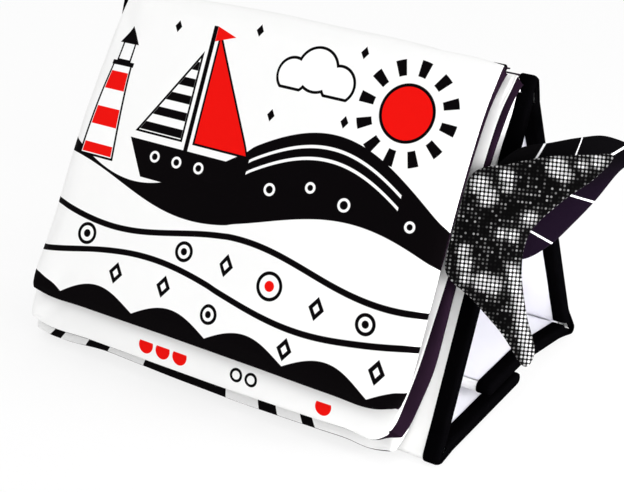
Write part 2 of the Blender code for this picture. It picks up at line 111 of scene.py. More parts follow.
class Value:
    """A number that varies over a finish. Arithmetic on it adds Math nodes."""

    def __init__(self, finish, socket):
        self.finish = finish
        self.socket = socket

    def math(self, operation, *others):
        settings = {"operation": operation}
        return self.finish.node("ShaderNodeMath", settings, dict(enumerate([self, *others])))

    def __add__(self, other):
        return self.math("ADD", other)

    def __sub__(self, other):
        return self.math("SUBTRACT", other)

    def __rsub__(self, other):
        return self.finish.number(other).math("SUBTRACT", self)

    def __mul__(self, other):
        return self.math("MULTIPLY", other)

    def __truediv__(self, other):
        return self.math("DIVIDE", other)

    def __neg__(self):
        return self * -1.0

    __radd__ = __add__
    __rmul__ = __mul__

    def sine(self):
        return self.math("SINE")

    def size(self):
        return self.math("ABSOLUTE")

    def least(self, other):
        return self.math("MINIMUM", other)

    def most(self, other):
        return self.math("MAXIMUM", other)

    def below(self, limit, softness=0.12):
        """1 where this is less than the limit, 0 where it is more, over a soft edge."""
        inputs = {0: self, 1: limit - softness, 2: limit + softness, 3: 1.0, 4: 0.0}
        settings = {"interpolation_type": "SMOOTHSTEP"}
        return self.finish.node("ShaderNodeMapRange", settings, inputs)


class Finish:
    """One material, and the nodes that make it up."""

    def __init__(self, tree):
        self.tree = tree
        self.shader = tree.nodes.get("Principled BSDF")

    def node(self, kind, settings=None, inputs=None, output=0):
        made = self.tree.nodes.new(kind)
        for name, value in (settings or {}).items():
            setattr(made, name, value)
        for key, value in (inputs or {}).items():
            if isinstance(value, Value):
                self.tree.links.new(value.socket, made.inputs[key])
            else:
                made.inputs[key].default_value = value
        return Value(self, made.outputs[output])

    def number(self, value):
        return self.node("ShaderNodeMath", {"operation": "ADD"}, {0: value, 1: 0.0})

    def mix(self, first, second, share):
        """One colour where the share is 0, another where it is 1."""
        settings = {"data_type": "RGBA", "clamp_factor": True}
        inputs = {0: share}
        for key, colour in ((6, first), (7, second)):
            inputs[key] = colour if isinstance(colour, Value) else (*colour, 1.0)
        return self.node("ShaderNodeMix", settings, inputs, 2)

    def feed(self, name, value):
        if isinstance(value, Value):
            self.tree.links.new(value.socket, self.shader.inputs[name])
        else:
            self.shader.inputs[name].default_value = value

    def in_picture(self):
        """1 for a ray of the camera, or of a gloss or glass, and 0 for the light's own rays."""
        seen = [self.node("ShaderNodeLightPath", output=n) for n in ("Is Camera Ray", "Is Glossy Ray")]
        return seen[0].most(seen[1]).most(self.node("ShaderNodeLightPath", output="Is Transmission Ray"))


bpy.ops.object.select_all(action="DESELECT")
bpy.ops.mesh.primitive_plane_add(size=8.0, location=(0, 0, cad_low.z - 0.0002))
table = bpy.context.object
table.name = "paper_sweep"
bpy.ops.object.transform_apply(location=True, rotation=True, scale=True)
paper = bpy.data.materials.new("paper")
paper.use_nodes = True
finish = Finish(paper.node_tree)
finish.feed("Base Color", (0.93, 0.93, 0.93, 1.0))
finish.feed("Roughness", 0.9)
finish.feed("Specular IOR Level", 0.1)
glow = finish.node("ShaderNodeEmission", None, {"Color": (1, 1, 1, 1), "Strength": 1.0})
lit = Value(finish, finish.shader.outputs[0])
surface = finish.node("ShaderNodeMixShader", None, {0: finish.in_picture() * paper_whiteness, 1: lit, 2: glow})
finish.tree.links.new(surface.socket, finish.tree.nodes["Material Output"].inputs["Surface"])
table.data.materials.append(paper)

world = bpy.data.worlds.new("surroundings")
bpy.context.scene.world = world
world.use_nodes = True
finish = Finish(world.node_tree)
finish.tree.nodes.clear()
shown = finish.node("ShaderNodeBackground", None, {"Color": (1, 1, 1, 1), "Strength": 1.0})
felt = finish.node("ShaderNodeBackground", None, {"Color": (1, 1, 1, 1), "Strength": surroundings_strength})
sky = finish.node("ShaderNodeMixShader", None, {0: finish.in_picture(), 1: felt, 2: shown})
output = finish.tree.nodes.new("ShaderNodeOutputWorld")
finish.tree.links.new(sky.socket, output.inputs["Surface"])

for name, place, width, power in (
    ("overhead_lamp", (-0.5, -0.9, 1.7), 1.4, 6.0),
    ("front_lamp", (0.9, -1.6, 0.7), 1.2, 2.4),
    ("side_lamp", (1.5, -0.6, 0.45), 0.9, 9.0),
    ("inside_lamp", (0.42, -0.03, 0.09), 0.12, 1.6),
    ("back_lamp", (0.6, 1.5, 1.2), 1.2, 3.0),
):
    lamp = bpy.data.lights.new(name, "AREA")
    lamp.shape = "DISK"
    lamp.size = width
    lamp.energy = power
    holder = bpy.data.objects.new(name, lamp)
    bpy.context.scene.collection.objects.link(holder)
    holder.location = place
    holder.visible_camera = holder.visible_glossy = False
    holder.rotation_euler = (Vector((0, 0, 0.08)) - Vector(place)).to_track_quat("-Z", "Y").to_euler()

# --------------------------------------------------
# Stand covers: one long strip of white polyester cloth, laid over four stiffened panels.
# It is cut here at the middle of the two slopes, so that each length spans one fold.
# --------------------------------------------------
stand_half_width = 0.1255
stand_middle = 0.0005
panel_thickness = 0.007
front_angle = math.radians(64.577304)
back_angle = math.radians(64.731249)
flap_rise = math.radians(9.777890)
ridge_at = Vector((0, 0, 0.1788267))
front_fold_at = Vector((0, -0.085, 0))
back_fold_at = Vector((0, 0.085, -0.00124815))
flap_end_at = Vector((0, 0.013, 0))
flap_bend = 0.0679830
flap_length = 0.1129830
free_end_radius = panel_thickness / 2
fold_clearance = 0.0004
cover_depth = 0.0004
cover_thickness = 0.0006
cloth_step = 0.004

white_colour = (0.915, 0.915, 0.905)
white_shade = (0.880, 0.882, 0.875)


class Fold:
    """A fold that two panels share, seen from the side: half its angle, and its rounding."""

    def __init__(self, half_angle, radius):
        self.half_angle = half_angle
        self.radius = radius
        self.tangent = radius / math.tan(half_angle)

    def reach(self, depth):
        """How far from the fold line something starts that lies this deep in the panel."""
        return depth / math.tan(self.half_angle) + fold_clearance / math.sin(self.half_angle)


front_fold = Fold(front_angle / 2, 0.004)
ridge_fold = Fold((math.pi - front_angle - back_angle) / 2, 0.003)
back_fold = Fold((back_angle - flap_rise) / 2, 0.004)


class Panel:
    """One stiffened panel of the strip, from its start to its end. Its outer face is up."""

    def __init__(self, place, angle, length, start, end, bend_at=None):
        self.place = place
        self.angle = angle
        self.length = length
        self.start = start
        self.end = end
        self.bend_at = bend_at

    def put(self, along, up, normal=False):
        """From the panel's own side view to the stand's frame."""
        if self.bend_at is not None and along > self.bend_at and not normal:
            past = Vector((along - self.bend_at, up))
            turn = Matrix.Rotation(flap_rise, 2)
            past = turn @ past
            along, up = self.bend_at + past.x, past.y
        cos, sin = math.cos(self.angle), math.sin(self.angle)
        moved = Vector((0, along * cos - up * sin, along * sin + up * cos))
        return moved if normal else self.place + moved

    def normal(self, along, lean, up):
        """A normal that leans along the panel."""
        if self.bend_at is not None and along > self.bend_at:
            turned = Matrix.Rotation(flap_rise, 2) @ Vector((lean, up))
            lean, up = turned.x, turned.y
        return self.put(lean, up, True)

    def rounding(self, fold, at_end, facing=1, steps=5):
        """Places and normals from the middle of a fold or free end to the panel's face."""
        sweep = math.pi / 2 if fold is None else math.pi / 2 - fold.half_angle
        radius = free_end_radius if fold is None else fold.radius
        tangent = radius if fold is None else fold.tangent
        found = []
        for step in range(steps):
            back = sweep * (1 - step / steps)
            lean, up = -math.sin(back), math.cos(back)
            along = tangent + lean * radius
            height = -radius + up * radius
            if facing < 0:
                height = -panel_thickness - height
            if at_end:
                along, lean = self.length - along, -lean
            found.append((self.put(along, height), self.normal(along, lean, facing * up)))
        return found[::-1] if at_end else found

    def outer(self, spacing=cloth_step):
        """Places and normals along the outer face, from the middle of one end to the other."""
        first = free_end_radius if self.start is None else self.start.tangent
        last = self.length - (free_end_radius if self.end is None else self.end.tangent)
        count = round((last - first) / spacing)
        found = self.rounding(self.start, False)
        for step in range(count + 1):
            along = first + (last - first) * step / count
            found.append((self.put(along, 0), self.normal(along, 0, 1)))
        return found + self.rounding(self.end, True)

    def inner(self, count):
        """The same number of places along the inner face, between the two mitres."""
        ends = []
        for fold in (self.start, self.end):
            ends.append(free_end_radius if fold is None else fold.reach(panel_thickness))
        first, last = ends[0], self.length - ends[1]
        lead = self.rounding(None, False, -1) if self.start is None else []
        tail = self.rounding(None, True, -1) if self.end is None else []
        straight = count - len(lead) - len(tail)
        found = []
        for step in range(straight):
            along = first + (last - first) * step / (straight - 1)
            found.append((self.put(along, -panel_thickness), self.normal(along, 0, -1)))
        return lead + found + tail


panels = {
    "front_flap": Panel(flap_end_at, math.pi, 0.098, None, front_fold),
    "front_panel": Panel(front_fold_at, front_angle, 0.198, front_fold, ridge_fold),
    "back_panel": Panel(ridge_at, -back_angle, 0.1991286, ridge_fold, back_fold),
    "back_flap": Panel(back_fold_at, math.pi - flap_rise, flap_length, back_fold, None, flap_bend),
}


def clear_of_folds(panel, point):
    """Keeps a point of one panel on its own side of its folds."""
    for fold, along in ((panel.start, 0.0), (panel.end, panel.length)):
        if fold is None:
            continue
        sign = 1 if along == 0 else -1
        corner = panel.put(along, 0) if panel.bend_at is None or along == 0 else panel.place
        across = panel.put(sign * math.sin(fold.half_angle), math.cos(fold.half_angle), True)
        point = point + across * max(0.0, fold_clearance - (point - corner).dot(across))
    return point


def pick_up(piece):
    """Selects one piece alone, as the tools expect."""
    bpy.ops.object.select_all(action="DESELECT")
    piece.select_set(True)
    bpy.context.view_layer.objects.active = piece


def work(piece, kind, **settings):
    """Puts one modifier on a piece and applies it."""
    pick_up(piece)
    step = piece.modifiers.new(kind.lower(), kind)
    for name, value in settings.items():
        setattr(step, name, value)
    bpy.ops.object.modifier_apply(modifier=step.name)


def add_face(shape, corners, where, side=0):
    """One smooth face. Its UV map says where each corner was on the flat cloth."""
    face = shape.faces.new(corners)
    face.smooth = True
    face.material_index = side
    flat = shape.loops.layers.uv["cut"]
    for loop in face.loops:
        loop[flat].uv = where[loop.vert]


def as_piece(name, shape, materials):
    """The piece that a shape makes, in its materials."""
    mesh = bpy.data.meshes.new(name)
    shape.to_mesh(mesh)
    shape.free()
    piece = bpy.data.objects.new(name, mesh)
    bpy.context.scene.collection.objects.link(piece)
    for material in materials:
        mesh.materials.append(material)
    return piece


def lay_cloth(name, rows, cuts, material):
    """A cloth through rows of points, with where each of them was on the flat cloth."""
    shape = bmesh.new()
    shape.loops.layers.uv.new("cut")
    grid = [[shape.verts.new(point) for point in row] for row in rows]
    where = {vert: cut for row, cut_row in zip(grid, cuts) for vert, cut in zip(row, cut_row)}
    for low, high in zip(grid, grid[1:]):
        for corners in zip(low, low[1:], high[1:], high):
            add_face(shape, corners, where)
    return as_piece(name, shape, [material])


def smooth(piece, degrees):
    """Shades a piece smooth, but for edges sharper than this."""
    pick_up(piece)
    bpy.ops.object.shade_smooth_by_angle(angle=math.radians(degrees))


def new_finish(name, **constants):
    """A material whose Principled shader has these constants."""
    material = bpy.data.materials.new(name)
    material.use_nodes = True
    made = Finish(material.node_tree)
    for key, value in constants.items():
        made.feed(key.replace("_", " "), value)
    made.material = material
    return made


def cut_place(finish):
    """Where a point lies on the flat cloth, across and along, in millimetres."""
    where = finish.node("ShaderNodeUVMap", {"uv_map": "cut"})
    across = finish.node("ShaderNodeSeparateXYZ", None, {0: where}, 0)
    along = finish.node("ShaderNodeSeparateXYZ", None, {0: where}, 1)
    return across * 1000.0, along * 1000.0


def cloud(finish, scale, detail=2.0, output=0):
    """Noise over the object's own coordinates. The scale is in lumps per metre."""
    where = finish.node("ShaderNodeTexCoord", output="Object")
    inputs = {"Vector": where, "Scale": scale, "Detail": detail}
    return finish.node("ShaderNodeTexNoise", None, inputs, output)


def weave(finish, thread, depth, creases=0.3, crease_scale=28.0):
    """Bump of woven threads, this many millimetres apart, over faint creases."""
    across, along = cut_place(finish)
    turns = 2 * math.pi / thread
    threads = (across * turns).sine() * (along * turns).sine() * depth
    height = threads + cloud(finish, crease_scale, 3.0) * creases
    bump = finish.node("ShaderNodeBump", None, {"Strength": 0.5, "Distance": 0.001, "Height": height})
    finish.feed("Normal", bump)


white_cloth = new_finish("white_cloth", Roughness=0.78, Sheen_Weight=0.15, Specular_IOR_Level=0.25)
white_cloth.feed("Base Color", white_cloth.mix(white_colour, white_shade, cloud(white_cloth, 18.0)))
weave(white_cloth, 0.55, 0.05)


def strip_stations():
    """The covers' path in three lengths: places, normals, and how far along the strip."""
    lengths = [[], [], []]
    travelled, before = 0.0, None
    for number, name in enumerate(("front_flap", "front_panel", "back_panel", "back_flap")):
        panel = panels[name]
        places = panel.outer()
        if name == "front_flap":
            places = panel.rounding(None, False, -1)[::-1][:-1] + places
        if name == "back_flap":
            places = places + panel.rounding(None, True, -1)[::-1][1:]
        middle = len(places) // 2
        for count, (place, normal) in enumerate(places):
            if before is not None:
                travelled += (place - before).length
                if (place - before).length < 0.0003:
                    continue
            before = place
            station = (place, normal, travelled, name)
            if name in ("front_flap", "back_flap"):
                lengths[0 if name == "front_flap" else 2].append(station)
                continue
            first = 0 if name == "front_panel" else 1
            if count <= middle:
                lengths[first].append(station)
            if count >= middle:
                lengths[first + 1].append(station)
    return lengths


def ripple(x, along, seed):
    """Faint uneven waves of a cloth over its filling, from -1 to 1."""
    total = 0.0
    for wave, (across, down, phase) in enumerate(((31, 17, 0.3), (-19, 41, 1.9), (57, -33, 4.1), (83, 71, 2.2))):
        total += math.sin(across * x * 2 + down * along * 2 + phase * (seed + 1) + wave) / (1 + wave)
    return total / 2.1


swells = {"front_flap": 0.0002, "front_panel": 0.00015, "back_panel": 0.0009, "back_flap": 0.0002}
column_count = 62
cover_half_width = stand_half_width - 0.0012
columns = [stand_middle + cover_half_width * (2 * n / column_count - 1) for n in range(column_count + 1)]
folds_of = {"front_fold": ("front_panel", "front_flap"), "ridge": ("front_panel", "back_panel"),
            "back_fold": ("back_panel", "back_flap")}


def bend_over(piece, fold_name):
    """Bakes a cloth's place into its mesh. Where the fold's rounding starts and ends on its two panels is worked
    out, but not used.
    """
    bodies = folds_of[fold_name]
    fold = {"front_fold": front_fold, "ridge": ridge_fold, "back_fold": back_fold}[fold_name]
    for body in bodies:
        panel = panels[body]
        along = fold.tangent if panel.start is fold else panel.length - fold.tangent
        panel.put(along, 0)
    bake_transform(piece)


for length_number, (name, fold_name, nodes) in enumerate((
    ("cover_front_fold", "front_fold", ("front_flap_cover", "front_flap_wadding")),
    ("cover_ridge", "ridge", ("front_panel_cover", "front_panel_wadding", "back_panel_wadding")),
    ("cover_back_fold", "back_fold", ("back_panel_cover", "back_flap_cover", "back_flap_wadding")),
)):
    stations = strip_stations()[length_number]
    rows, cuts = [], []
    for place, normal, along, panel_name in stations:
        row, cut_row = [], []
        distance = min((place - corner).length for corner in (ridge_at, front_fold_at, back_fold_at, flap_end_at))
        flat_share = max(0.0, min(1.0, (distance - 0.008) / 0.03))
        for x in columns:
            side_share = 1 - (x / stand_half_width) ** 6
            lift = swells[panel_name] * flat_share * side_share * (0.6 + 0.4 * ripple(x, along, 1))
            row.append(place + normal * (lift - cover_depth) + Vector((x, 0, 0)))
            cut_row.append((x, along))
        rows.append(row)
        cuts.append(cut_row)
    cover = lay_cloth(name, rows, cuts, white_cloth.material)
    work(cover, "SOLIDIFY", thickness=cover_thickness, offset=-1.0)
    smooth(cover, 50)
    bend_over(cover, fold_name)
    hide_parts(*nodes)

# --------------------------------------------------
# Linings: a cooler white cloth inside the tent, one for each panel. At a fold each one
# turns in along the panel's slanted edge, so a panel shows a closed edge when it opens.
# --------------------------------------------------
lining_depth = panel_thickness - 0.0004
lining_half_width = stand_half_width - 0.0021
mitre_half_width = stand_half_width - 0.0078
lining_colour = (0.900, 0.895, 0.935)
lining_shade = (0.855, 0.850, 0.905)

lining_cloth = new_finish("lining_cloth", Roughness=0.82, Sheen_Weight=0.1, Specular_IOR_Level=0.25)
lining_cloth.feed("Base Color", lining_cloth.mix(lining_colour, lining_shade, cloud(lining_cloth, 22.0)))
weave(lining_cloth, 0.5, 0.05, 0.6, 34.0)

for seed, (name, panel) in enumerate(panels.items()):
    path = []
    for depth in (0.0018, 0.0032, 0.0046, 0.0058):
        if panel.start is not None:
            path.append((panel.start.reach(depth) + 0.0003, depth, 0.0))
    ends = []
    for fold in (panel.start, panel.end):
        ends.append(free_end_radius + 0.0003 if fold is None else fold.reach(lining_depth) + 0.0002)
    first, last = ends[0], panel.length - ends[1]
    count = round((last - first) / cloth_step)
    for step in range(count + 1):
        path.append((first + (last - first) * step / count, lining_depth, math.sin(math.pi * step / count) ** 0.5))
    for depth in (0.0058, 0.0046, 0.0032, 0.0018):
        if panel.end is not None:
            path.append((panel.length - panel.end.reach(depth) - 0.0003, depth, 0.0))
    rows, cuts, travelled = [], [], 0.0
    for number, (along, depth, share) in enumerate(path):
        if number:
            travelled += math.hypot(along - path[number - 1][0], depth - path[number - 1][1])
        row, cut_row = [], []
        for column in range(column_count, -1, -1):
            reach = lining_half_width if depth == lining_depth else mitre_half_width
            x = stand_middle + reach * (2 * column / column_count - 1)
            side_share = 1 - (x / stand_half_width) ** 8
            crown = 0.0006 if name in ("front_panel", "back_panel") else 0.0001
            swell = crown * share * side_share * (1 + 0.7 * ripple(x, along, seed + 3))
            row.append(panel.put(along, -depth - swell) + Vector((x, 0, 0)))
            cut_row.append((x, travelled))
        rows.append(row)
        cuts.append(cut_row)
    lining = lay_cloth(f"{name}_inner_cloth", rows, cuts, lining_cloth.material)
    work(lining, "SOLIDIFY", thickness=cover_thickness, offset=-1.0)
    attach(lining, name)
    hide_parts(f"{name}_lining")

# --------------------------------------------------
# Stiffening boards: grey card inside each panel, as the CAD has them. Hidden by the cloth.
# --------------------------------------------------
board_card = new_finish("board_card", Roughness=0.85)
board_card.feed("Base Color", board_card.mix((0.52, 0.46, 0.37), (0.62, 0.56, 0.47), cloud(board_card, 400.0, 4.0)))
for name in panels:
    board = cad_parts[f"{name}_board"]
    board.data.materials.clear()
    board.data.materials.append(board_card.material)

# --------------------------------------------------
# Edge bindings: black woven tape folded round both side edges of every panel and sewn
# through. Over each fold lies a short length of the same tape.
# --------------------------------------------------
tape_thickness = 0.0007
tape_roll = 0.0014
fold_tape_thickness = 0.0005
fold_tape_room = 0.0003
fold_tape_drop = tape_roll + 0.0012
tape_section = (
    (0.0080, 1, 0.0002), (0.0074, 1, 0.0), (0.0045, 1, 0.0), (0.0018, 1, 0.0), (0.0005, 1, 0.0004),
    (0.0, 1, tape_roll), (0.0, 0, 0.0), (0.0, -1, tape_roll), (0.0005, -1, 0.0004), (0.0018, -1, 0.0),
    (0.0045, -1, 0.0), (0.0074, -1, 0.0), (0.0080, -1, 0.0002),
)
black_tape = (0.0006, 0.0006, 0.0008)
worn_tape = (0.0018, 0.0016, 0.0020)
fold_puffs = {"front_fold": (0.0004, 0.0008), "ridge": (0.0012, 0.0008), "back_fold": (0.0012, 0.0018)}

binding_tape = new_finish("binding_tape", Roughness=0.9, Specular_IOR_Level=0.0)
binding_tape.feed("Base Color", binding_tape.mix(black_tape, worn_tape, cloud(binding_tape, 90.0, 4.0)))
weave(binding_tape, 0.7, 0.12, 0.35, 120.0)


def lay_tape(name, path, side, put, section, thickness):
    """A tape along a path, where put says where each point of its section goes."""
    rows, cuts, travelled = [], [], 0.0
    for number, station in enumerate(path):
        if number:
            travelled += (station[0] - path[number - 1][0]).length
        row, cut_row, across = [], [], 0.0
        for inset, face, depth in section:
            point = put(number, station, side, inset, face, depth)
            across += (point - row[-1]).length if row else 0.0
            row.append(point)
            cut_row.append((across, travelled))
        rows.append(row[::side])
        cuts.append(cut_row[::side])
    tape = lay_cloth(name, rows, cuts, binding_tape.material)
    work(tape, "SOLIDIFY", thickness=thickness, offset=-1.0)
    return tape, travelled


def on_panel(number, station, side, inset, face, depth):
    """A point of a tape folded round a panel's edge. Its ends go under the fold tapes."""
    out_place, out_normal, in_place, in_normal = station
    at_fold = (number < 5 and panel.start) or (number >= len(path) - 5 and panel.end)
    if face > 0:
        point = out_place - out_normal * (depth + (fold_tape_room if at_fold else 0.0))
    elif face < 0:
        point = in_place - in_normal * depth
    else:
        point = (out_place - out_normal * tape_roll + in_place - in_normal * tape_roll) / 2
    point = point + Vector((stand_middle + side * (stand_half_width - inset), 0, 0))
    return clear_of_folds(panel, point)


def over_fold(number, station, side, inset, face, depth):
    """A point of a tape over a fold, puffed up in its middle and never under the table."""
    place, normal = station
    round_share = math.sin(math.pi * number / (len(path) - 1))
    lift, out = (0.0001 + puff * round_share for puff in fold_puffs[fold_name])
    point = place + normal * (lift - (depth if face else fold_tape_drop))
    reach = stand_half_width - inset + (out if inset == 0 else 0)
    return Vector((stand_middle + side * reach, point.y, max(point.z, 0.0001)))


for name, panel in panels.items():
    outer = panel.outer()
    path = [(*out_pair, *in_pair) for out_pair, in_pair in zip(outer, panel.inner(len(outer)))]
    for side, word in ((-1, "left"), (1, "right")):
        tape, travelled = lay_tape(f"{name}_tape_{word}", path, side, on_panel, tape_section, tape_thickness)
        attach(tape, name)
        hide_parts(f"{name}_binding_{word}")

for fold_name, (first, second) in folds_of.items():
    order = (second, first) if fold_name == "front_fold" else (first, second)
    path = panels[order[0]].outer(0.002)[-12:] + panels[order[1]].outer(0.002)[1:12]
    for side, word in ((-1, "left"), (1, "right")):
        tape, travelled = lay_tape(
            f"{fold_name}_tape_{word}", path, side, over_fold, tape_section[:7], fold_tape_thickness
        )
        bend_over(tape, fold_name)

# --------------------------------------------------
# Hook and loop: two black nylon tapes between the base flaps. The hooks face up from the
# front flap, the loops face down from the tongue of the back flap.
# --------------------------------------------------
hook_tape = new_finish("hook_tape", Roughness=0.6, Specular_IOR_Level=0.4)
hook_tape.feed("Base Color", hook_tape.mix((0.012, 0.012, 0.013), (0.03, 0.03, 0.032), cloud(hook_tape, 900.0)))
weave(hook_tape, 1.1, 0.5, 0.2, 300.0)
loop_tape = new_finish("loop_tape", Roughness=0.95, Sheen_Weight=0.4)
loop_tape.feed("Base Color", loop_tape.mix((0.014, 0.013, 0.014), (0.05, 0.048, 0.05), cloud(loop_tape, 1400.0)))
loop_fuzz = loop_tape.node(
    "ShaderNodeBump", None, {"Strength": 0.8, "Distance": 0.001, "Height": cloud(loop_tape, 1500.0)}
)
loop_tape.feed("Normal", loop_fuzz)
for name, body, slot, tape in (
    ("hook_strip", "front_flap", "hook_tape", hook_tape), ("loop_strip", "back_flap", "loop_tape", loop_tape)
):
    low, high = (Vector(corner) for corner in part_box(name))
    middle = (low + high) / 2
    bpy.ops.object.select_all(action="DESELECT")
    bpy.ops.mesh.primitive_grid_add(x_subdivisions=48, y_subdivisions=6, size=1, location=middle)
    strip = bpy.context.object
    strip.name = strip.data.name = f"{name}_sewn_on"
    strip.scale = (high.x - low.x, high.y - low.y, 1)
    bpy.ops.object.transform_apply(location=True, rotation=True, scale=True)
    strip.data.uv_layers[0].name = "cut"
    for loop in strip.data.loops:
        point = strip.data.vertices[loop.vertex_index].co
        strip.data.uv_layers[0].data[loop.index].uv = (point.x, point.y)
    strip.data.materials.append(tape.material)
    work(strip, "SOLIDIFY", thickness=high.z - low.z, offset=0.0)
    work(strip, "BEVEL", width=0.0004, segments=2, angle_limit=math.radians(50))
    smooth(strip, 40)
    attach(strip, body)
    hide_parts(name)

# --------------------------------------------------
# Leaves: three padded pages, each a printed front cloth sewn to a black back cloth round
# a thin foam with crinkle film. The seam runs round the edge, nearer the back at the top.
# --------------------------------------------------
leaf_widths = (0.228, 0.236, 0.232)
leaf_rise = 0.00485
leaf_tops = (0.0, 0.0055, 0.007)
leaf_bottoms = (0.175, 0.192, 0.1975)
leaf_top_centres = (0.005, 0.0075, 0.0075)
leaf_leans = (0.006, 0.0105, 0.013)
leaf_stacks = (0.0263, 0.0160, 0.0057)
leaf_crowns = (0.0012, 0.0, 0.0)
leaf_edge_radius = 0.0046
leaf_top_radius = 0.0065
leaf_step = 0.0042
up_slope = Vector((0, math.cos(front_angle), math.sin(front_angle)))
out_of_slope = Vector((0, -math.sin(front_angle), math.cos(front_angle)))


def leaf_frame(leaf):
    """The leaf's own frame: X along the ridge, Y up the slope from the ridge, Z out of it."""
    turn = Matrix((Vector((1, 0, 0)), up_slope, out_of_slope)).transposed().to_4x4()
    return Matrix.Translation(ridge_at + out_of_slope * leaf_stacks[leaf]) @ turn


def leaf_sides(leaf, down):
    """Middle and half width of a leaf at a distance down the slope."""
    share = (down - leaf_tops[leaf]) / (leaf_bottoms[leaf] - leaf_tops[leaf])
    draw = 0.0012 * 4 * share * (1 - share)
    return leaf_top_centres[leaf] - leaf_leans[leaf] * share, leaf_widths[leaf] / 2 - draw


def rim_distances(half):
    """Places from one rim to the other's, from -1 to 1, close together on the rounded edges."""
    near = [leaf_edge_radius * n / 5 for n in range(6)]
    count = round((half - near[-1]) / leaf_step)
    rising = near + [near[-1] + (half - near[-1]) * n / count for n in range(1, count + 1)]
    return [-1 + d / half for d in rising] + [1 - d / half for d in rising[-2::-1]]


def round_edge(gap, radius, seam, facing):
    """From the seam, round the edge, onto a face: how far in from the outline, and how high."""
    start = math.asin(seam)
    angle = start + (facing * math.pi / 2 - start) * min(1.0, gap / radius)
    return max(gap, radius) - radius * math.cos(angle), math.sin(angle)


# Where each seam runs, from -1 at the leaf's back to 1 at its front, and by how many
# millimetres the filled cloth stands out of its cut shape at places along each edge.
leaf_habits = (
    {"top_seam": -0.85, "foot_seam": 0.38, "left_seam": -0.3,
     "right_seam": ((0, 0.8), (0.1, 0.65), (0.4, 0.4), (0.65, 0.1), (1, 0.05)),
     "bulge": ((0, 0), (1, 0)), "corner": 0.0065, "top_draw": 0.0055, "top_reach": 0.0018, "ear": 0.0050,
     "top": ((-1, -1.2), (-0.9, 0.3), (-0.1, 1.5), (0.2, 0.6), (0.5, 0.3), (0.75, -0.9), (0.9, -1.6), (1, -3.2)),
     "foot": ((-1, 1.5), (-0.9, 1.5), (-0.73, -0.6), (-0.23, -0.6), (0.3, 0), (0.7, 0.8), (0.86, 3),
              (0.94, 2.7), (1, 2)),
     "left": ((0, -0.4), (0.2, -1.1), (0.4, 2.5), (0.58, 2.7), (0.76, 1.9), (0.86, 3.4), (0.93, 5.2), (1, 5.4)),
     "right": ((0, 0), (0.16, -0.5), (0.4, -0.2), (0.73, 0.9), (0.82, 1.4), (0.9, 1.9), (0.96, 3.8), (1, 4.6))},
    {"top_seam": -0.85, "foot_seam": 0.50, "left_seam": -0.3,
     "right_seam": ((0, 0.85), (0.1, 0.96), (0.86, 0.96), (0.94, 0.9), (1, 0.7)),
     "bulge": ((0, 0), (0.3, 0.4), (0.5, 2.5), (0.67, 4.2), (0.8, 4.9), (0.87, 3.7), (0.92, 3.9), (1, 4.1)),
     "corner": 0.0072, "top_draw": 0.006, "top_reach": 0, "ear": 0.0048,
     "top": ((-1, -1.2), (-0.9, 0), (0.5, 0.1), (1, 1.2)),
     "foot": ((-1, 1.5), (-0.92, 2), (-0.65, -0.6), (-0.3, -0.2), (0.1, 0), (0.65, -1), (0.76, -1.2), (0.86, 2),
              (0.93, 2.4), (1, -1.4)),
     "left": ((0, 0), (0.6, 0.5), (0.85, 2.5), (0.94, 4.5), (1, 2.7)),
     "right": ((0, 0.2), (0.05, -0.6), (0.14, -0.1), (0.3, 0.8), (0.6, 0.2), (0.78, -0.5), (0.86, -1.6),
               (0.92, -2.3), (1, -1.4))},
    {"top_seam": -0.85, "foot_seam": 0.52, "left_seam": -0.3, "right_seam": ((0, -0.8), (1, -0.8)),
     "bulge": ((0, 0), (1, 0)), "corner": 0.0055, "top_draw": 0.006, "top_reach": 0, "ear": 0,
     "top": ((-1, -1.2), (-0.9, 0), (0.5, -0.1), (1, -1)),
     "foot": ((-1, 3), (-0.9, 3), (-0.6, -1.4), (-0.2, 0.2), (0.2, 0.8), (0.6, -0.2), (0.75, -0.6), (0.85, 2),
              (0.92, 1.8), (1, 2.6)),
     "left": ((0, 0), (0.7, 0.8), (0.9, 3.5), (1, 6.5)),
     "right": ((0, 0), (1, 0))},
)


def read_off(places, at):
    """A value between those given at places along an edge, rounded off where it turns."""
    total = 0.0
    for shift in (-0.045, -0.0225, 0.0, 0.0225, 0.045):
        spot = min(max(at + shift, places[0][0]), places[-1][0])
        for (start, first), (end, last) in zip(places, places[1:]):
            if spot <= end:
                total += first + (last - first) * (spot - start) / (end - start)
                break
    return total / 5


def top_drop(leaf, across):
    """How much lower than its cut a leaf's top edge hangs."""
    return -read_off(leaf_habits[leaf]["top"], across) / 1000


def puff_up(piece, seam, pressure, cap, frames=20):
    """Fills a sewn case with air for a moment, as its stuffing does, and keeps the shape."""
    mesh = piece.data
    flat = [v.co.copy() for v in mesh.vertices]
    group = piece.vertex_groups.new(name="seam")
    group.add(seam, 1.0, "REPLACE")
    cloth = piece.modifiers.new("cloth", "CLOTH")
    cloth.settings.quality = 4
    cloth.settings.mass = 0.15
    cloth.settings.tension_stiffness = 30
    cloth.settings.bending_stiffness = 0.2
    cloth.settings.use_pressure = True
    cloth.settings.uniform_pressure_force = pressure
    cloth.settings.effector_weights.gravity = 0
    cloth.settings.vertex_group_mass = "seam"
    cloth.point_cache.frame_start, cloth.point_cache.frame_end = 1, frames
    for frame_number in range(1, frames + 1):
        bpy.context.scene.frame_set(frame_number)
    view = bpy.context.evaluated_depsgraph_get()
    full = [v.co.copy() for v in piece.evaluated_get(view).data.vertices]
    piece.modifiers.remove(cloth)
    piece.vertex_groups.remove(group)
    bpy.context.scene.frame_set(1)
    for vert, before, after in zip(mesh.vertices, flat, full):
        move = after - before
        vert.co = before + move * min(1.0, cap / max(move.length, 1e-9))


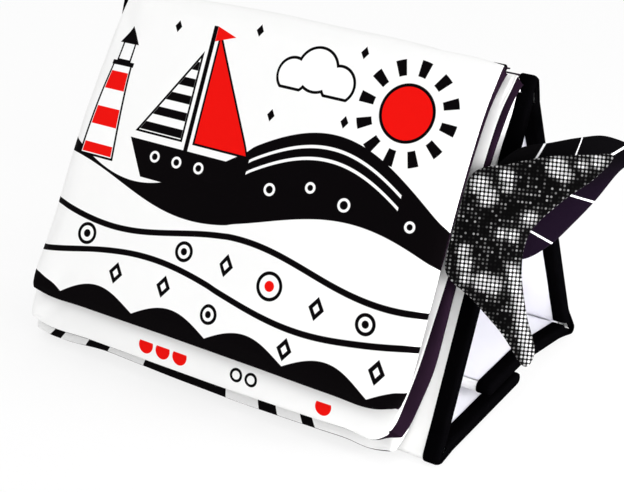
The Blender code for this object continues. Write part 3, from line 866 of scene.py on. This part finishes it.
def leaf_case(leaf, name, materials):
    """The sewn case of one leaf, in its own frame: front and back share the seam's points."""
    top, bottom = leaf_tops[leaf], leaf_bottoms[leaf]
    middle, half_length = (top + bottom) / 2, (bottom - top) / 2
    habits = leaf_habits[leaf]
    start_rise = leaf_rise * 0.86
    shape = bmesh.new()
    shape.loops.layers.uv.new("cut")
    alongs, acrosses = rim_distances(half_length), rim_distances(leaf_widths[leaf] / 2)
    grids, where, seam = {1: [], -1: []}, {}, []
    for along in alongs:
        rows = {1: [], -1: []}
        for across in acrosses:
            soft = 0.0045 if across < 0 else habits["corner"] if along > 0 else 0.0015
            draw = soft * abs(across * along) ** 8
            down = middle + along * (half_length - draw)
            centre, half_width = leaf_sides(leaf, down)
            cut = (centre + across * (half_width - draw), middle - down)
            side_gap = (1 - abs(across)) * leaf_widths[leaf] / 2
            end_gap = (1 - abs(along)) * half_length
            share = (along + 1) / 2
            left, right = max(0.0, -across), max(0.0, across)
            side_rim = habits["left_seam"] if across < 0 else read_off(habits["right_seam"], share)
            end_rim = habits["top_seam"] if along < 0 else habits["foot_seam"]
            end_radius = leaf_top_radius if along < 0 else leaf_edge_radius
            weight = side_gap / max(side_gap + end_gap, 1e-9)
            seam_at = side_rim * (1 - weight) + end_rim * weight
            near_top = math.exp(-(down - top) / 0.034)
            shift = habits["top_draw"] * left**4 * near_top + habits["top_reach"] * right**3 * near_top**0.6
            shift += habits["ear"] * right**8 * near_top**3
            shift += read_off(habits["right"], share) * right**6 / 1000
            shift -= read_off(habits["left"], share) * left**6 / 1000
            drop = top_drop(leaf, across) * near_top**2 + read_off(habits["foot"], across) / 1000 * share**8
            bulge = read_off(habits["bulge"], share) / 1000
            for facing in (1, -1):
                if min(side_gap, end_gap) == 0 and facing < 0:
                    rows[-1].append(rows[1][-1])
                    continue
                side_in, side_up = round_edge(side_gap, leaf_edge_radius, side_rim, facing)
                end_in, end_up = round_edge(end_gap, end_radius, end_rim, facing)
                full = (side_up - side_rim) / (facing - side_rim) * (end_up - end_rim) / (facing - end_rim)
                height = start_rise * (seam_at + (facing - seam_at) * full)
                x = centre + math.copysign(half_width - draw - side_in, across) + shift
                y = middle + math.copysign(half_length - draw - end_in, along) + drop
                if across == 0:
                    x = centre + shift
                if along == 0:
                    y = middle + drop
                if facing < 0:
                    round_share = math.sin(math.pi * min(1.0, side_gap / leaf_edge_radius))
                    x += bulge * round_share * (right > 0)
                if min(side_gap, end_gap) == 0:
                    seam.append(len(where))
                vert = shape.verts.new((x, -y, height))
                rows[facing].append(vert)
                where[vert] = cut
        grids[1].append(rows[1])
        grids[-1].append(rows[-1])
    for facing, side in ((1, 0), (-1, 1)):
        for low, high in zip(grids[facing], grids[facing][1:]):
            for corners in zip(low, low[1:], high[1:], high):
                add_face(shape, corners[::-facing], where, side)
    return as_piece(name, shape, materials), seam


black_colour = (0.003, 0.0015, 0.0035)
black_shade = (0.018, 0.008, 0.018)
black_cloth = new_finish("black_cloth", Roughness=0.7, Specular_IOR_Level=0.01)
black_cloth.feed("Base Color", black_cloth.mix(black_colour, black_shade, cloud(black_cloth, 40.0, 3.0)))
weave(black_cloth, 0.5, 0.06, 0.4, 60.0)


class Drawing:
    """A print on a cloth, in millimetres on the flat cloth. What is painted later lies on top."""

    def __init__(self, finish, ground):
        self.finish = finish
        self.colour = ground
        self.across, self.up = cut_place(finish)
        self.place = finish.node("ShaderNodeCombineXYZ", None, {0: self.across, 1: self.up, 2: 1.0})

    def measure(self, operation, vector):
        settings = {"operation": operation}
        return self.finish.node("ShaderNodeVectorMath", settings, {0: self.place, 1: vector}, 1)

    def disc(self, x, y, radius):
        return self.measure("DISTANCE", (x, y, 1.0)) - radius

    def ring(self, x, y, radius, width):
        return self.disc(x, y, radius).size() - width / 2

    def polygon(self, *corners):
        """A shape without hollows. Its corners run clockwise."""
        shape = None
        for (x, y), (next_x, next_y) in zip(corners, corners[1:] + corners[:1]):
            length = math.hypot(next_x - x, next_y - y)
            lean, rise = (y - next_y) / length, (next_x - x) / length
            edge = self.measure("DOT_PRODUCT", (lean, rise, -x * lean - y * rise))
            shape = edge if shape is None else shape.most(edge)
        return shape

    def bar(self, left, low, right, high):
        return self.polygon((left, high), (right, high), (right, low), (left, low))

    def wave(self, level, height, length, start):
        """How far a place is above a wavy line."""
        return self.up - (((self.across + start) / length).sine() * height + level)

    def stripes(self, value, pitch):
        """Less than zero in every other half of the pitch."""
        return (value * (2 * math.pi / pitch)).sine() * (pitch / (2 * math.pi))

    def paint(self, colour, shape):
        self.colour = self.finish.mix(self.colour, colour, shape.below(0.0))

    def outline(self, colour, shape, width=1.2):
        """The shape in its colour, with a black line round it."""
        self.paint(print_black, shape - width)
        self.paint(colour, shape)


print_ground = (0.915, 0.915, 0.912)
print_shade = (0.885, 0.885, 0.880)
print_black = (0.0016, 0.0010, 0.0014)
print_red = (0.80, 0.006, 0.004)


def print_cloth(number):
    """A white printed cloth, with a woven bump over faint creases."""
    made = new_finish(f"print_cloth_{number}", Roughness=0.75, Specular_IOR_Level=0.03)
    weave(made, 0.55, 0.05, 0.25, 24.0)
    return made, Drawing(made, made.mix(print_ground, print_shade, cloud(made, 20.0)))


# Leaf 1: a boat, a lighthouse, a cloud and a sun over a black swell, and wavy lines below
harbour, sea = print_cloth(1)
swell_top = sea.wave(10, 24, 36, 10)
swell_foot = sea.wave(-16, 10, 30, -20)
sea.paint(print_black, swell_top.most(-swell_foot))
for drop in (7, 13):
    sea.paint(print_ground, ((swell_top + drop).size() - 0.8).most(sea.bar(2, -40, 88, 60)))
for x, y, size in ((18, 0, 2.6), (40, 6, 2.2), (60, 2, 2.8), (96, 0, 2.2)):
    sea.paint(print_ground, sea.ring(x, y, size, 1.3))

sea.outline(print_ground, sea.polygon((-99, 44), (-87, 44), (-83, -6), (-103, -6)))
tower = sea.polygon((-98.8, 43.5), (-87.2, 43.5), (-83.4, -5.5), (-102.6, -5.5))
sea.paint(print_red, sea.stripes(sea.up, 20).most(tower))
sea.paint(print_black, sea.bar(-101, 43.5, -85, 46))
sea.outline(print_ground, sea.bar(-97, 47, -89, 56))
sea.paint(print_black, sea.polygon((-93, 66), (-85.5, 56), (-100.5, 56)))
sea.paint(print_black, sea.polygon((-74, 8), (-4, 8), (-17, -11), (-62, -11)))
for x in (-56, -42, -28):
    sea.paint(print_ground, sea.ring(x, 1, 2.4, 1.3))
sea.outline(print_red, sea.polygon((-34, 13), (-34, 68), (-2, 13)))
jib = sea.polygon((-43, 13), (-70, 13), (-43, 56))
sea.outline(print_ground, jib)
sea.paint(print_black, sea.stripes(sea.up, 9).most(jib))
sea.paint(print_black, sea.bar(-39.8, 6, -37.2, 74))
sea.paint(print_red, sea.polygon((-37.2, 74), (-25, 70), (-37.2, 66)))

puffs = sea.disc(14, 58, 8).least(sea.disc(27, 63, 10.5)).least(sea.disc(40, 58, 8.5))
sea.outline(print_ground, puffs.most(-(sea.up - 52)), 1.5)
sun_angle = (sea.up - 52).math("ARCTAN2", sea.across - 80)
rays = sea.ring(80, 52, 22.5, 8).most((sun_angle * 12).sine() * 3 + 0.9)
sea.paint(print_black, rays)
sea.outline(print_red, sea.disc(80, 52, 13), 1.6)
for x, y in ((-12, 76), (8, 36), (49, 41), (-62, 70), (50, 76)):
    sea.paint(print_black, sea.polygon((x, y + 3.2), (x + 2.2, y), (x, y - 3.2), (x - 2.2, y)))

low_wave, deep_wave = sea.wave(-34, 6, 26, 31), sea.wave(-57, 6.5, 30, 90)
for line in (low_wave, deep_wave):
    sea.paint(print_black, line.size() - 1.6)
for x, y, size in ((-86, -47.5, 5), (-24, -42, 4.5), (31, -46, 6.5), (86, -49.7, 4.5), (0, -69, 4.5)):
    sea.paint(print_black, sea.ring(x, y, size, 1.8))
    sea.paint(print_red if size == 6.5 else print_black, sea.disc(x, y, size * 0.42))
for x, y in ((4, -42.5), (59, -49.7), (-62, -63.5), (-31, -62.5), (47, -73.5), (97, -69)):
    sea.paint(print_black, sea.polygon((x, y + 6), (x + 4.4, y), (x, y - 6), (x - 4.4, y)))
    sea.paint(print_ground, sea.polygon((x, y + 2.6), (x + 1.9, y), (x, y - 2.6), (x - 1.9, y)))
sea.paint(print_black, sea.up - (sea.across / 15).sine().size() * 9 + 82)
harbour.feed("Base Color", sea.colour)

# Leaf 2: black hoops in a white field, with red half discs and small rings near the foot
hoops, field = print_cloth(2)
for x, y, sizes in ((-52, 18, (40, 28, 16)), (58, 26, (34, 22, 10)), (10, -40, (24, 14))):
    for size in sizes:
        field.paint(print_black, field.ring(x, y, size, 5))
    field.paint(print_red, field.disc(x, y, 5))
for x in (-40, -29, -18, 70):
    field.paint(print_red, field.disc(x, -85, 4.6).most(field.up + 83))
for x in (18, 27):
    field.paint(print_black, field.ring(x, -84, 3, 1.5))
hoops.feed("Base Color", field.colour)

# Leaf 3: black rays of many widths from a red disc
rayed, burst = print_cloth(3)
for left, right in ((-118, -110), (-92, -76), (-50, 8), (30, 42), (58, 66)):
    burst.paint(print_black, burst.polygon((0, 40), (right, -104), (left, -104)))
for left, right in ((-120, -84), (-60, -48), (-22, -6), (20, 50), (74, 84), (100, 124)):
    burst.paint(print_black, burst.polygon((0, 40), (left, 104), (right, 104)))
burst.paint(print_ground, burst.disc(0, 40, 24))
burst.outline(print_red, burst.disc(0, 40, 18), 3)
rayed.feed("Base Color", burst.colour)

for leaf, printed in ((2, rayed), (1, hoops), (0, harbour)):
    name = f"leaf_{leaf + 1}"
    case, seam_points = leaf_case(leaf, f"{name}_pad", (printed.material, black_cloth.material))
    puff_up(case, seam_points, 4.0, 0.0016)
    middle_down = (leaf_tops[leaf] + leaf_bottoms[leaf]) / 2
    half_length = (leaf_bottoms[leaf] - leaf_tops[leaf]) / 2
    for vert in case.data.vertices:
        centre, half_width = leaf_sides(leaf, -vert.co.y)
        across = (vert.co.x - centre) / half_width
        along = (-vert.co.y - middle_down) / half_length
        crown = leaf_crowns[leaf] * max(0.0, 1 - across**2) * max(0.0, 1 - along**2)
        vert.co.z = max(-leaf_rise, min(leaf_rise, vert.co.z)) + (crown if vert.co.z > 0 else 0.0)
    work(case, "SUBSURF", levels=1, render_levels=1)
    case.data.transform(leaf_frame(leaf))
    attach(case, name)
    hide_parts(f"{name}_front_cloth", f"{name}_back_cloth", f"{name}_foam", f"{name}_crinkle_film")

# --------------------------------------------------
# Ridge piping and headers: a black cloth-covered cord sewn along the ridge, and the cloth
# header that joins each leaf's top seam to it.
# --------------------------------------------------
piping_at = Vector((0, 0, 0.1769187))
piping_radius = 0.0018
piping_reach = 0.110
header_starts = (0.0024, 0.0046, 0.0026)
bpy.ops.object.select_all(action="DESELECT")
bpy.ops.mesh.primitive_cylinder_add(
    vertices=20, radius=piping_radius, depth=2 * piping_reach, location=piping_at, rotation=(0, math.pi / 2, 0)
)
piping = bpy.context.object
piping.name = piping.data.name = "ridge_piping_cord"
bpy.ops.object.transform_apply(location=True, rotation=True, scale=True)
work(piping, "BEVEL", width=0.0007, segments=3, angle_limit=math.radians(60))
piping.data.materials.append(binding_tape.material)
smooth(piping, 50)
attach(piping, "front_panel")
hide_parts("ridge_piping")

for leaf in range(3):
    half = leaf_widths[leaf] / 2
    seam_down = leaf_tops[leaf] + leaf_top_radius * (1 - math.cos(math.asin(0.85)))
    ends = []
    for n in range(53):
        across = (half - 0.006) / half * (2 * n / 52 - 1)
        x = across * half + leaf_top_centres[leaf]
        ends.append(leaf_frame(leaf) @ Vector((x, -seam_down - top_drop(leaf, across), -0.8 * leaf_rise)))
    away = ends[20] - piping_at
    away.x = 0
    near = piping_at + away * (header_starts[leaf] / away.length)
    length = away.length - header_starts[leaf]
    steps = max(3, round(length / 0.0022))
    rows, cuts = [], []
    for step in range(steps + 1):
        share = step / steps
        row = []
        for seam in ends:
            start = Vector((seam.x, near.y, near.z))
            row.append(start + (seam - start) * share)
        rows.append(row[::-1])
        cuts.append([(point.x, length * share) for point in row[::-1]])
    header = lay_cloth(f"leaf_{leaf + 1}_header_cloth", rows, cuts, black_cloth.material)
    work(header, "SOLIDIFY", thickness=0.0007, offset=0.0)
    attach(header, f"leaf_{leaf + 1}")
    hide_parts(f"leaf_{leaf + 1}_header")
    reach = 2 * (half - 0.006)
    f"leaf_{leaf + 1}_pad"
    None if length >= 0.01 else reach * length

# --------------------------------------------------
# Tails: two flat stuffed shapes sewn into the leaves' right seams. The forked one is foil
# dot cloth, the leaf-shaped one under it black satin with white printed veins.
# --------------------------------------------------
tail_rise = 0.00225
fish_outline = (
    (0.0, -0.18), (0.27, -0.29), (0.54, -0.37), (0.80, -0.42), (1.0, -0.45), (0.91, -0.33), (0.73, -0.20),
    (0.56, -0.03), (0.57, 0.13), (0.70, 0.32), (0.84, 0.47), (0.79, 0.55), (0.57, 0.44), (0.29, 0.33), (0.0, 0.21),
)
leaf_upper = ((0.0, 0.20), (0.13, 0.50), (0.28, 0.84), (0.42, 0.99), (0.56, 0.88), (0.72, 0.76), (0.86, 0.57))
leaf_lower = ((0.0, 0.28), (0.10, 0.72), (0.24, 1.12), (0.40, 1.06), (0.55, 0.82), (0.70, 0.53), (0.86, 0.16))
leaf_tail_tuck = Vector((0.0076, 0, 0))
tail_tilt = math.radians(37)
tail_length, tail_half_width = 0.097, 0.024
ring_shares = (0.12, 0.25, 0.38, 0.50, 0.60, 0.69, 0.77, 0.84, 0.90, 0.95, 0.985, 1.0)


def smooth_loop(points, count):
    """Points at even steps of a closed Catmull-Rom curve through the given ones."""
    total = len(points)
    found = []
    for number in range(count):
        place = number * total / count
        start = int(place)
        t = place - start
        a, b, c, d = (points[(start + step) % total] for step in (-1, 0, 1, 2))
        curve = 2 * b + (c - a) * t + (2 * a - 5 * b + 4 * c - d) * t**2
        curve = (curve + (3 * b - 3 * c + d - a) * t**3) / 2
        found.append(Vector((max(curve.x, 0), curve.y, 0)))
    return found


def tail_case(name, points, centre, materials, count=96):
    """A sewn tail in its own frame: rings that widen from the middle to the seam."""
    outline = smooth_loop(points, count)
    shape = bmesh.new()
    shape.loops.layers.uv.new("cut")
    # The share from the middle to the seam. The foil finish reads it to paint a glint along the seam.
    rim_share = shape.verts.layers.float.new("rim")
    seam = [shape.verts.new(point) for point in outline]
    for vert in seam:
        vert[rim_share] = 1.0
    where = {vert: point.xy for vert, point in zip(seam, outline)}
    for facing in (1, -1):
        height = tail_rise * 0.8
        middle = shape.verts.new(centre + Vector((0, 0, facing * height)))
        where[middle] = centre.xy
        before = None
        for share in ring_shares:
            ring = []
            for point, rim in zip(outline, seam):
                place = centre + (point - centre) * share
                if share == 1.0:
                    ring.append(rim)
                    continue
                place.z = facing * height * math.sqrt(1 - share**2)
                vert = shape.verts.new(place)
                vert[rim_share] = share
                where[vert] = place.xy
                ring.append(vert)
            for number in range(count):
                after = (number + 1) % count
                if before is None:
                    corner = (middle, ring[number], ring[after])
                else:
                    corner = (before[number], ring[number], ring[after], before[after])
                add_face(shape, corner[::facing], where, 0 if facing > 0 else 1)
            before = ring
    shape.verts.index_update()
    if shape.calc_volume(signed=True) < 0:
        bmesh.ops.reverse_faces(shape, faces=shape.faces)
    seam_points = [vert.index for vert in seam]
    return as_piece(name, shape, materials), seam_points


foil_dot_cloth = new_finish("foil_dot_cloth", Specular_IOR_Level=0.03)
sparkle = Drawing(foil_dot_cloth, None)
dot_pitch, dot_size, dot_turn = 1.9, 0.98, math.radians(10)
column = (sparkle.across * math.cos(dot_turn) + sparkle.up * math.sin(dot_turn)) / dot_pitch
row = (sparkle.up * math.cos(dot_turn) - sparkle.across * math.sin(dot_turn)) / dot_pitch
off_column, off_row = column.math("FRACT") - 0.5, row.math("FRACT") - 0.5
middle_distance = (off_column * off_column + off_row * off_row).math("SQRT") * dot_pitch
cell = foil_dot_cloth.node("ShaderNodeCombineXYZ", None, {0: column.math("FLOOR"), 1: row.math("FLOOR")})
chance = foil_dot_cloth.node("ShaderNodeTexWhiteNoise", {"noise_dimensions": "2D"}, {"Vector": cell})
# Painted highlights: a slanted strip and round patches where the foil dots are painted brighter and larger, as if
# lit up along the folds.
painted_highlight = sparkle.polygon((27.5, -14), (34, -13), (56, -58), (49.5, -58)).below(0, 2.2)
for x, y, size in (
    (6, 18, 4.5), (11, 13.5, 4.5), (17, 25, 3.5), (19, 20, 2.5), (38.6, 35.6, 5), (43, 33, 3.5),
    (56.1, 43.5, 3.5), (33, 9, 3.5), (27.5, -1, 3), (22, -1.5, 2.5), (9.7, -20, 3.5), (7.5, -14, 3),
    (12, -26, 3), (19.8, -25.6, 4.5), (24.8, -25.6, 4.5), (50, 40, 2.5),
):
    painted_highlight = painted_highlight.most(sparkle.disc(x, y, size).below(0, 2))
# Painted glint: the dots in the rows next to the seam are painted a little brighter.
rim = foil_dot_cloth.node("ShaderNodeAttribute", {"attribute_name": "rim"}, output=2)
painted_highlight = painted_highlight.most((0.97 - rim).below(0, 0.04) * 0.35)
# The dots grow in the painted highlights. Their silver is painted with glints: a random painted sparkle on each
# dot, and full brightness in the painted highlights.
dots = (middle_distance - painted_highlight * 0.25).below(dot_size / 2, 0.16)
painted_glint = (chance * chance * chance * chance * 0.45 + 0.005) + painted_highlight * (chance * 0.35 + 0.65)
silver_with_painted_glint = foil_dot_cloth.mix((0, 0, 0), (0.95, 0.94, 0.95), painted_glint)
foil_dot_cloth.feed("Base Color", foil_dot_cloth.mix((0.0010, 0.0009, 0.0010), silver_with_painted_glint, dots))
foil_dot_cloth.feed("Metallic", dots)
foil_dot_cloth.feed("Roughness", 0.7 - dots * 0.42)
weave(foil_dot_cloth, 0.6, 0.03, 0.5, 90)

satin_cloth = new_finish("satin_cloth", Roughness=0.5, Specular_IOR_Level=0.03)
veined = Drawing(satin_cloth, None)
# Painted sheen: a purple sheen over one part of the satin, where it catches the light, fading to black across a
# slanted line.
painted_sheen_fade = (veined.up * -1 + veined.across * 0.55 + 12).below(0, 14)
veined.colour = satin_cloth.mix((0.0045, 0.0018, 0.0062), (0.0012, 0.0010, 0.0014), painted_sheen_fade)
for (x, y), (end_x, end_y), width in (
    ((-8, 10), (53.2, 52), 1.1), ((52.8, 51.5), (67, 66), 1), ((14.5, 25.2), (22, 51), 1),
    ((36, 37.7), (38.3, 59.5), 0.5),
    ((19.5, 28.6), (56, 29), 0.9), ((3, 12), (42, 3.8), 0.9),
):
    length = math.hypot(end_x - x, end_y - y)
    side_x, side_y = -(end_y - y) / length * width / 2, (end_x - x) / length * width / 2
    veined.paint((0.85, 0.85, 0.87), veined.polygon(
        (x + side_x, y + side_y), (end_x + side_x, end_y + side_y),
        (end_x - side_x, end_y - side_y), (x - side_x, y - side_y),
    ))
satin_cloth.feed("Base Color", veined.colour)
weave(satin_cloth, 0.45, 0.03, 0.8, 60.0)

fish_points = [Vector((across * 0.063, -along * 0.107, 0)) for across, along in fish_outline]
forward = Vector((math.cos(tail_tilt), math.sin(tail_tilt), 0)) * tail_length
square = Vector((-math.sin(tail_tilt), math.cos(tail_tilt), 0)) * tail_half_width
leaf_points = [forward * t + square * half for t, half in leaf_upper] + [forward]
leaf_points += [forward * t - square * half for t, half in reversed(leaf_lower)]
leaf_points = [point - leaf_tail_tuck for point in leaf_points]
for leaf, name, place, droop, points, centre, materials in (
    (0, "leaf_1_tail", 0.0775, 30, fish_points, Vector((0.32 * 0.063, 0, 0)), (foil_dot_cloth, black_cloth)),
    (1, "leaf_2_tail", 0.081, 38.5, leaf_points, forward * 0.4 - leaf_tail_tuck, (satin_cloth, satin_cloth)),
):
    case, seam_points = tail_case(f"{name}_case", points, centre, [m.material for m in materials])
    puff_up(case, seam_points, 4.0, 0.0012)
    work(case, "SUBSURF", levels=1, render_levels=1)
    middle_x, half_width = leaf_sides(leaf, place)
    seam_at = Vector((middle_x + half_width + 0.0006, -place, 0))
    lean = math.atan2(leaf_leans[leaf], leaf_bottoms[leaf] - leaf_tops[leaf])
    turn = Matrix.Rotation(-lean, 4, "Z") @ Matrix.Rotation(math.radians(droop), 4, "Y")
    case.data.transform(leaf_frame(leaf) @ Matrix.Translation(seam_at) @ turn)
    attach(case, name)
    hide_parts(f"{name}_front", f"{name}_back", f"{name}_wadding")
    "foil_dot_cloth" if leaf == 0 else "satin_cloth"
